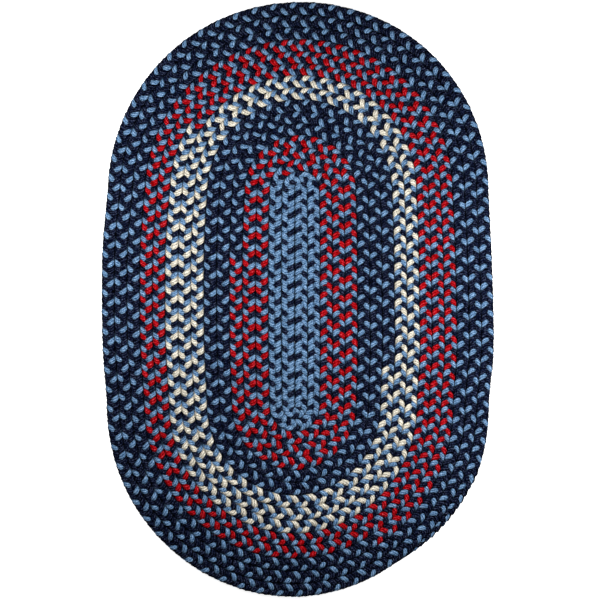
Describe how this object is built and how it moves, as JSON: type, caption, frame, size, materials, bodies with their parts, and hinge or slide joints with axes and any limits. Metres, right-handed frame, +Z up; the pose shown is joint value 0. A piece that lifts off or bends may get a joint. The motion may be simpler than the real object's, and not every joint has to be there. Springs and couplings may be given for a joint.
{
  "type": "braided rug",
  "caption": "Flat oval floor rug made of one three-strand plait laced to itself in a spiral, with bands of navy, light blue, red and cream.",
  "frame": {"origin": "middle of the rug's flat underside, on the floor", "axes": "+Z up out of the floor; +Y along the rug's length, towards the end where the plait's turns step outwards; +X across, towards the side with the plait's tail"},
  "size_m": [0.6022, 0.9135, 0.0095],
  "materials": {
    "braided_yarn": "matt plaited yarn sleeve in navy, light blue, red and cream"
  },
  "bodies": {
    "root": {"braided_rug": "braided_yarn"}
  },
  "joints": []
}
